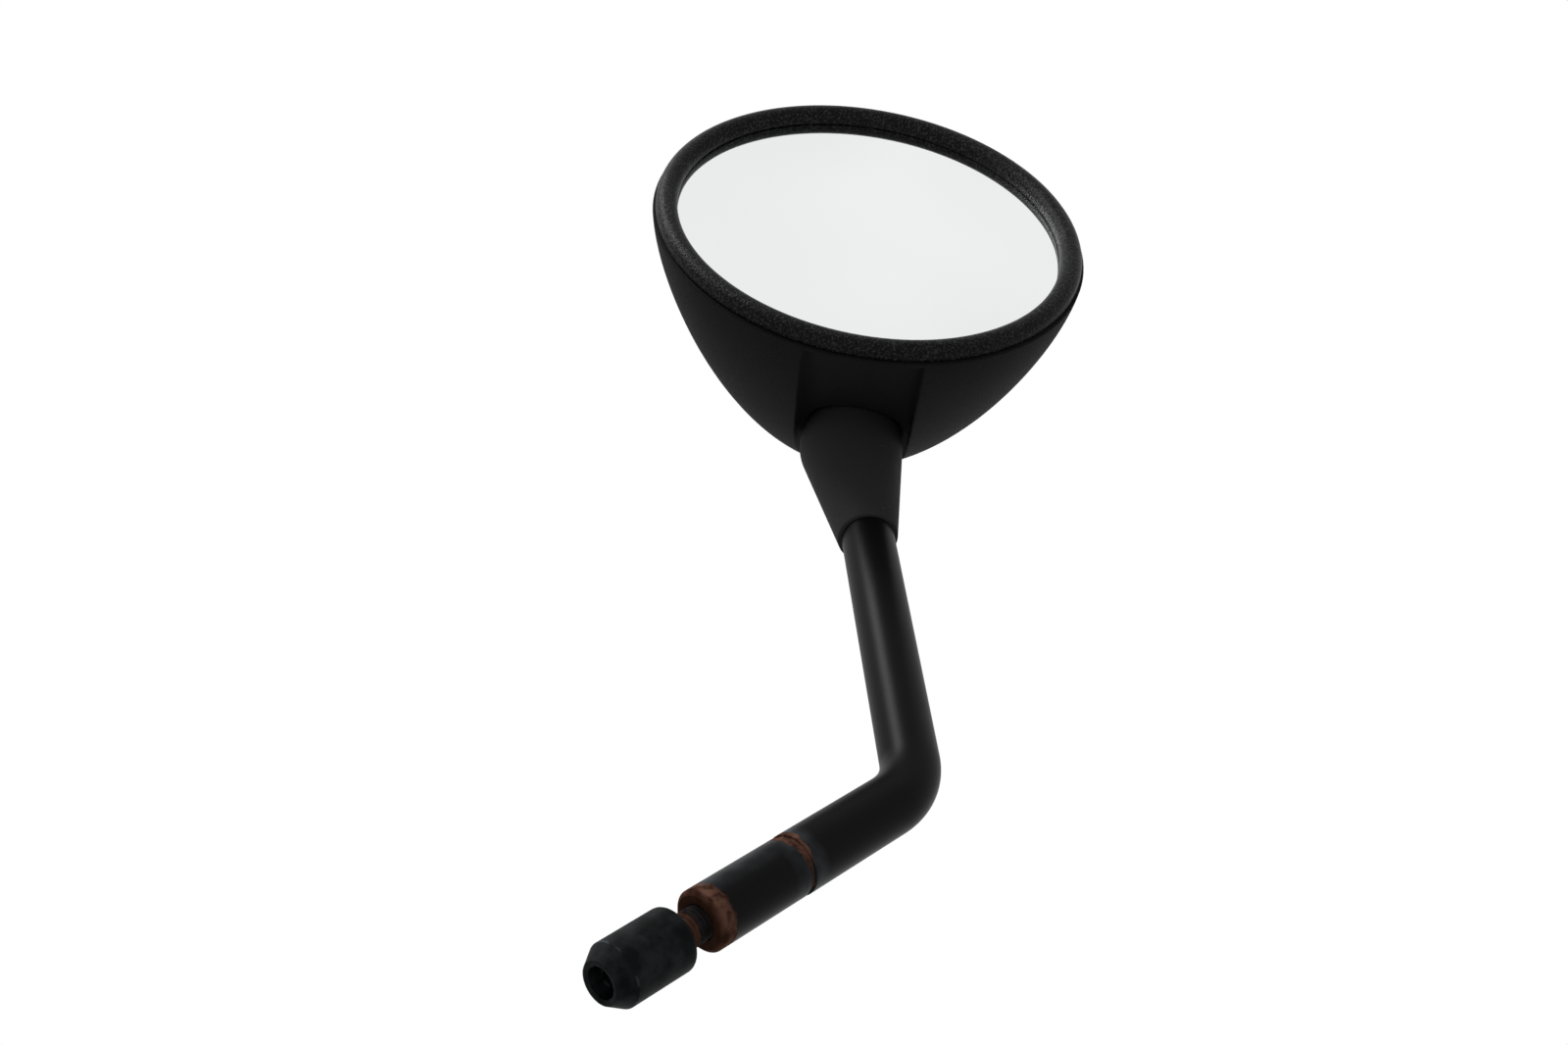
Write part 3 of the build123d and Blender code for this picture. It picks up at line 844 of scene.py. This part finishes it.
class MIRROR_OT_stem(bpy.types.Operator):
    """Painted rod with a worn land at its foot"""

    bl_idname = "mirror.stem"
    bl_label = "Stem"

    def execute(self, context):
        sizes = context.scene.mirror_stem
        columns, step = 96, 0.8 * MM
        hole_edge, foot_edge, land_edge, top_edge = 0.3 * MM, 0.25 * MM, 0.15 * MM, 0.4 * MM
        foot = foot_end(sizes)
        hole_end = foot + sizes.hole_depth
        rod_start = sizes.land_half + sizes.groove_width
        shoulder = pivot_along(sizes) - sizes.shoulder
        tip = pivot_along(sizes) - sizes.spigot_top
        outline = rounded(
            [
                (hole_end, 0, 0),
                (hole_end, sizes.thread_radius, 0),
                (foot, sizes.thread_radius, hole_edge),
                (foot, sizes.land_radius - sizes.end_chamfer, foot_edge),
                (-sizes.land_half, sizes.land_radius, foot_edge),
                (sizes.land_half, sizes.land_radius, land_edge),
                (sizes.land_half, sizes.groove_radius, 0),
                (rod_start, sizes.groove_radius, 0),
                (rod_start, sizes.rod_radius, land_edge),
                (shoulder, sizes.rod_radius, top_edge),
                (shoulder, sizes.spigot_radius, 0),
                (tip, sizes.spigot_radius, top_edge),
                (tip, 0, 0),
            ]
        )
        piece = grid_piece("painted_rod", carried(dense(outline, step), columns, sizes))
        material = satin_enamel(sizes, context.scene.mirror_finishes)
        dress(piece, material, "stem", "stem_paint", "stem")
        return {"FINISHED"}


def black_oxide(tones, head_top, nose_edge):
    """Steel with a black oxide finish: charcoal in faint clouds, rubbed lighter along the nose's
    edge, with rust on the thread next to the head. The rust lies between two ragged lines."""
    rust_patch, cloud_width = 1.4 * MM, 3.8 * MM
    border_shift, rubbed_half = 0.9 * MM, 0.22 * MM
    material, tree, place = new_material("black_oxide_steel")
    height = add_node(tree, "ShaderNodeSeparateXYZ", {"Vector": place}).outputs["Z"]
    ragged = add_node(
        tree, "ShaderNodeTexNoise", {"Vector": place, "Scale": 1 / rust_patch, "Detail": 5.0}
    )
    broad = add_node(
        tree, "ShaderNodeTexNoise", {"Vector": place, "Scale": 1 / cloud_width, "Detail": 5.0}
    )
    shift = add_node(
        tree,
        "ShaderNodeMapRange",
        {"Value": ragged.outputs["Fac"], "To Min": -border_shift, "To Max": border_shift},
    )
    line = add_node(
        tree, "ShaderNodeMath", {0: height, 1: shift.outputs["Result"]}, operation="ADD"
    )
    above_head = add_node(
        tree,
        "ShaderNodeMapRange",
        {
            "Value": line.outputs["Value"],
            "From Min": head_top - 0.2 * MM,
            "From Max": head_top + 0.5 * MM,
        },
    )
    below_neck = add_node(
        tree,
        "ShaderNodeMapRange",
        {
            "Value": line.outputs["Value"],
            "From Min": head_top + 4.4 * MM,
            "From Max": head_top + 3.2 * MM,
            "To Min": 0.06,
        },
    )
    rust_share = add_node(
        tree,
        "ShaderNodeMath",
        {0: above_head.outputs["Result"], 1: below_neck.outputs["Result"]},
        operation="MULTIPLY",
    )
    edge = add_node(
        tree,
        "ShaderNodeMath",
        {0: height, 1: nose_edge, 2: rubbed_half},
        operation="COMPARE",
    )
    scuffed = add_node(
        tree,
        "ShaderNodeMapRange",
        {"Value": broad.outputs["Fac"], "From Min": 0.47, "From Max": 0.58, "To Max": 0.75},
    )
    rubbed = add_node(
        tree,
        "ShaderNodeMath",
        {0: edge.outputs["Value"], 1: scuffed.outputs["Result"]},
        operation="MULTIPLY",
    )
    cloud = add_node(
        tree,
        "ShaderNodeMapRange",
        {"Value": broad.outputs["Fac"], "From Min": 0.4, "From Max": 0.68, "To Max": 0.2},
    )
    mottled = add_node(
        tree,
        "ShaderNodeMath",
        {0: cloud.outputs["Result"], 1: rubbed.outputs["Value"]},
        operation="MAXIMUM",
    )
    oxide = add_node(
        tree,
        "ShaderNodeMix",
        {"Factor": mottled.outputs["Value"], "A": tones.bolt_charcoal, "B": tones.bolt_edge},
        data_type="RGBA",
    )
    rust = add_node(
        tree,
        "ShaderNodeMix",
        {"Factor": broad.outputs["Fac"], "A": tones.rust_dark, "B": tones.rust_light},
        data_type="RGBA",
    )
    shade = add_node(
        tree,
        "ShaderNodeMix",
        {
            "Factor": rust_share.outputs["Value"],
            "A": oxide.outputs["Result"],
            "B": rust.outputs["Result"],
        },
        data_type="RGBA",
    )
    gloss = add_node(
        tree,
        "ShaderNodeMapRange",
        {"Value": rust_share.outputs["Value"], "To Min": 0.55, "To Max": 0.85},
    )
    bump = add_node(
        tree,
        "ShaderNodeBump",
        {"Strength": 0.5, "Distance": 0.03 * MM, "Height": ragged.outputs["Fac"]},
    )
    finish_shader(
        tree,
        {
            "Base Color": shade.outputs["Result"],
            "Roughness": gloss.outputs["Result"],
            "Specular IOR Level": 0.035,
            "Normal": bump.outputs["Normal"],
        },
    )
    return material


class MIRROR_OT_clamp_bolt(bpy.types.Operator):
    """Clamp bolt: threaded shank, long round head, conical nose and hex socket"""

    bl_idname = "mirror.clamp_bolt"
    bl_label = "Clamp bolt"

    def execute(self, context):
        sizes = context.scene.mirror_stem
        columns, step = 96, 0.16 * MM
        neck, neck_flare, thread_gap = 1.2 * MM, 0.5 * MM, 0.03 * MM
        head_edge, cone_edge, face_edge = 1.2 * MM, 0.3 * MM, 0.25 * MM
        mouth_widening, mouth_depth, drill_point = 1.2, 0.4 * MM, 1.0 * MM
        shank_end = foot_end(sizes) + sizes.engagement
        head_top = foot_end(sizes) - sizes.shank_showing
        nose = head_top - sizes.head_length
        nose_edge = nose + sizes.nose_length
        hex_end = nose + sizes.hex_depth
        root = sizes.thread_radius - sizes.thread_depth
        outline = rounded(
            [
                (shank_end, 0, 0),
                (shank_end, root, 0),
                (head_top + neck, root, 0),
                (head_top, root + neck_flare, 0),
                (head_top, sizes.head_radius, head_edge),
                (nose_edge, sizes.head_radius, cone_edge),
                (nose, sizes.nose_face_radius, face_edge),
                (nose, sizes.hex_flat * mouth_widening, 0),
                (nose + mouth_depth, sizes.hex_flat, 0),
                (hex_end, sizes.hex_flat, 0),
                (hex_end + drill_point, 0, 0),
            ]
        )
        outline = dense(outline, step)
        heights, radii = outline[:, 0:1], outline[:, 1:2]
        in_socket = (radii <= sizes.hex_flat * 1.001) & (heights < hex_end + drill_point)
        on_thread = (radii > root * 0.99) & (heights > head_top + 1.0 * MM)

        def swell(along, angle):
            """A ridge with a flat crest and root that climbs one pitch a turn on the shank, and
            flats in the socket, whose radius grows as one over the cosine from a flat's middle."""
            climb = np.abs(((along / sizes.thread_pitch - angle / (2 * pi)) % 1) * 2 - 1)
            ridge = np.clip(climb * 1.4 - 0.2, 0, 1) * (sizes.thread_depth - thread_gap)
            corner = (angle + pi / 6) % (pi / 3) - pi / 6
            flats = radii * (1 / np.cos(pi / 6 - np.abs(corner)) - 1)
            return np.where(on_thread, ridge, 0) + np.where(in_socket, flats, 0)

        piece = grid_piece("hex_clamp_bolt", carried(outline, columns, sizes, swell))
        material = black_oxide(context.scene.mirror_finishes, head_top, nose_edge)
        dress(piece, material, "stem", "bolt_steel", "clamp_bolt")
        return {"FINISHED"}


# Finish of each piece that the head and the boot hide: name, colour, metal share, roughness, grain
# in millimetres
INNER_FINISHES = {
    "ball_stud": ("ground_stud_steel", "#b4b6b8", 1.0, 0.28, 0.4),
    "stud_washer": ("zinc_plate_washer", "#b9bab4", 1.0, 0.38, 0.9),
    "stud_nut": ("zinc_plate_nut", "#b9bab4", 1.0, 0.38, 0.9),
    "socket_body": ("turned_socket_steel", "#8f9194", 1.0, 0.36, 0.3),
    "socket_cap": ("turned_cap_steel", "#8f9194", 1.0, 0.36, 0.3),
    "lower_seat": ("natural_nylon_lower", "#e2ddcf", 0.0, 0.45, 1.4),
    "upper_seat": ("natural_nylon_upper", "#e2ddcf", 0.0, 0.45, 1.4),
    "seat_spring": ("tempered_spring_steel", "#6a6e76", 1.0, 0.34, 0.5),
    "backing_pad": ("closed_cell_foam", "#2e2e2f", 0.0, 0.9, 0.6),
    "carrier_plate": ("moulded_carrier", "#343435", 0.0, 0.6, 0.7),
}


def grained_finish(name, tone, metal, roughness, grain):
    """One even finish, whose grain shades it, breaks up its gloss and stands a little proud."""
    gloss_spread = 0.08
    material, tree, place = new_material(name)
    noise = add_node(
        tree, "ShaderNodeTexNoise", {"Vector": place, "Scale": 1 / grain, "Detail": 4.0}
    )
    shade = add_node(
        tree,
        "ShaderNodeMix",
        {"Factor": noise.outputs["Fac"], "A": shaded(tone, 0.8), "B": tone},
        data_type="RGBA",
    )
    gloss = add_node(
        tree,
        "ShaderNodeMapRange",
        {
            "Value": noise.outputs["Fac"],
            "To Min": roughness - gloss_spread,
            "To Max": roughness + gloss_spread,
        },
    )
    bump = add_node(
        tree,
        "ShaderNodeBump",
        {"Strength": 0.4, "Distance": 0.02 * MM, "Height": noise.outputs["Fac"]},
    )
    finish_shader(
        tree,
        {
            "Base Color": shade.outputs["Result"],
            "Metallic": metal,
            "Roughness": gloss.outputs["Result"],
            "Normal": bump.outputs["Normal"],
        },
    )
    return material


class MIRROR_OT_inner_pieces(bpy.types.Operator):
    """Finishes of the pieces inside the head and the boot"""

    bl_idname = "mirror.inner_pieces"
    bl_label = "Inner pieces"

    def execute(self, context):
        for node, (name, hex_colour, metal, roughness, grain_mm) in INNER_FINISHES.items():
            material = grained_finish(name, linear(hex_colour), metal, roughness, grain_mm * MM)
            finish_solid(node, material)
        return {"FINISHED"}


def seen_directly(tree):
    """One for the camera and for what shiny or clear surfaces show, nought for light on the
    object."""
    path = add_node(tree, "ShaderNodeLightPath")
    seen = add_node(
        tree,
        "ShaderNodeMath",
        {0: path.outputs["Is Camera Ray"], 1: path.outputs["Is Glossy Ray"]},
        operation="MAXIMUM",
    )
    shown = add_node(
        tree,
        "ShaderNodeMath",
        {0: seen.outputs["Value"], 1: path.outputs["Is Transmission Ray"]},
        operation="MAXIMUM",
    )
    return shown.outputs["Value"]


def pale_paper():
    """Matte white paper, faintly mottled by its fibres. Where it is seen, it adds a glow of its own
    that keeps the background pale, and gives the object no light."""
    fibre_length, glow_share = 3.3 * MM, 0.45
    material, tree, place = new_material("pale_paper")
    fibre = add_node(
        tree, "ShaderNodeTexNoise", {"Vector": place, "Scale": 1 / fibre_length, "Detail": 3.0}
    )
    shade = add_node(
        tree,
        "ShaderNodeMix",
        {"Factor": fibre.outputs["Fac"], "A": linear("#f4f4f4"), "B": linear("#fafafa")},
        data_type="RGBA",
    )
    glow = add_node(
        tree, "ShaderNodeMath", {0: seen_directly(tree), 1: glow_share}, operation="MULTIPLY"
    )
    finish_shader(
        tree,
        {
            "Base Color": shade.outputs["Result"],
            "Roughness": 0.9,
            "Specular IOR Level": 0.0,
            "Emission Color": (1, 1, 1, 1),
            "Emission Strength": glow.outputs["Value"],
        },
    )
    return material


# Studio lamps: name, place in metres, width and height in metres, power in watts
LAMPS = (
    ("key_softbox", (-1.09, -0.5, 0.14), (0.4, 0.4), 11.0),
    ("front_softbox", (0.24, -0.75, -0.6), (0.4, 0.4), 1.0),
    ("fill_softbox", (0.75, -0.85, 0.35), (0.8, 0.8), 0.8),
    ("back_softbox", (0.2, 0.8, 0.9), (1.0, 0.8), 0.6),
)
# Point that the lamps face and half the floor's width in metres, width of the sensor in millimetres
LAMP_TARGET = Vector((-0.06, 0.0, 0.08))
FLOOR_HALF = 4.0
SENSOR_WIDTH = 36.0


class MIRROR_OT_stage(bpy.types.Operator):
    """Pale floor, white surroundings, soft lamps and the camera"""

    bl_idname = "mirror.stage"
    bl_label = "Stage"

    def execute(self, context):
        scene = context.scene
        stage = scene.mirror_stage
        scene.view_settings.view_transform = "Standard"

        world = bpy.data.worlds.new("white_room")
        world.use_nodes = True
        scene.world = world
        tree = world.node_tree
        tree.nodes.clear()
        mixed = add_node(tree, "ShaderNodeMixShader", {0: seen_directly(tree)})
        for socket, strength in ((1, stage.ambient), (2, 1.0)):
            room = add_node(
                tree, "ShaderNodeBackground", {"Color": (1, 1, 1, 1), "Strength": strength}
            )
            tree.links.new(room.outputs["Background"], mixed.inputs[socket])
        add_node(tree, "ShaderNodeOutputWorld", {"Surface": mixed.outputs["Shader"]})

        corner = np.array([[-1, -1], [1, -1], [1, 1], [-1, 1]]) * FLOOR_HALF
        level = np.full(4, -stage.floor_drop)
        mesh = bpy.data.meshes.new("studio_floor")
        mesh.from_pydata(np.column_stack([corner, level]), [], [(0, 1, 2, 3)])
        floor = bpy.data.objects.new("studio_floor", mesh)
        scene.collection.objects.link(floor)
        mesh.materials.append(pale_paper())

        for name, place, (width, height), power in LAMPS:
            lamp = bpy.data.lights.new(name, "AREA")
            lamp.shape = "RECTANGLE"
            lamp.size = width
            lamp.size_y = height
            lamp.energy = power
            holder = bpy.data.objects.new(name, lamp)
            holder.location = place
            holder.rotation_mode = "QUATERNION"
            holder.rotation_quaternion = (LAMP_TARGET - Vector(place)).to_track_quat("-Z", "Y")
            holder.visible_camera = False
            scene.collection.objects.link(holder)

        camera = bpy.data.cameras.new("photo_camera")
        camera.sensor_fit = "HORIZONTAL"
        camera.sensor_width = SENSOR_WIDTH
        camera.lens = stage.lens
        camera.clip_start = 0.01
        right = Vector(stage.camera_right).normalized()
        up = Vector(stage.camera_up)
        up = (up - right * up.dot(right)).normalized()
        turn = Matrix((right, up, right.cross(up))).transposed().to_4x4()
        holder = bpy.data.objects.new("photo_camera", camera)
        holder.matrix_world = Matrix.Translation(stage.camera_place) @ turn
        scene.collection.objects.link(holder)
        scene.camera = holder
        return {"FINISHED"}


STEPS = (
    MIRROR_OT_housing,
    MIRROR_OT_bezel,
    MIRROR_OT_glass,
    MIRROR_OT_boot,
    MIRROR_OT_stem,
    MIRROR_OT_clamp_bolt,
    MIRROR_OT_inner_pieces,
    MIRROR_OT_stage,
)


class MIRROR_PT_sidebar(bpy.types.Panel):
    """Lists the mirror's pieces in the sidebar"""

    bl_idname = "MIRROR_PT_sidebar"
    bl_label = "Handlebar mirror"
    bl_space_type = "VIEW_3D"
    bl_region_type = "UI"
    bl_category = "Mirror"

    def draw(self, context):
        for step in STEPS:
            self.layout.operator(step.bl_idname)


GROUPS = {
    "mirror_stem": MirrorStemSizes,
    "mirror_head": MirrorHeadSizes,
    "mirror_finishes": MirrorFinishes,
    "mirror_stage": MirrorStage,
}


def register():
    """Registers the classes and hangs the settings on the scene."""
    for group in (*GROUPS.values(), *STEPS, MIRROR_PT_sidebar):
        bpy.utils.register_class(group)
    for name, group in GROUPS.items():
        setattr(bpy.types.Scene, name, bpy.props.PointerProperty(type=group))


def unregister():
    """Takes the settings off the scene and unregisters the classes."""
    for name in GROUPS:
        delattr(bpy.types.Scene, name)
    for group in (MIRROR_PT_sidebar, *reversed(STEPS), *GROUPS.values()):
        bpy.utils.unregister_class(group)


def main():
    """Builds every piece and the stage."""
    register()
    for step in STEPS:
        area, name = step.bl_idname.split(".")
        getattr(getattr(bpy.ops, area), name)()


if __name__ == "__main__":
    main()
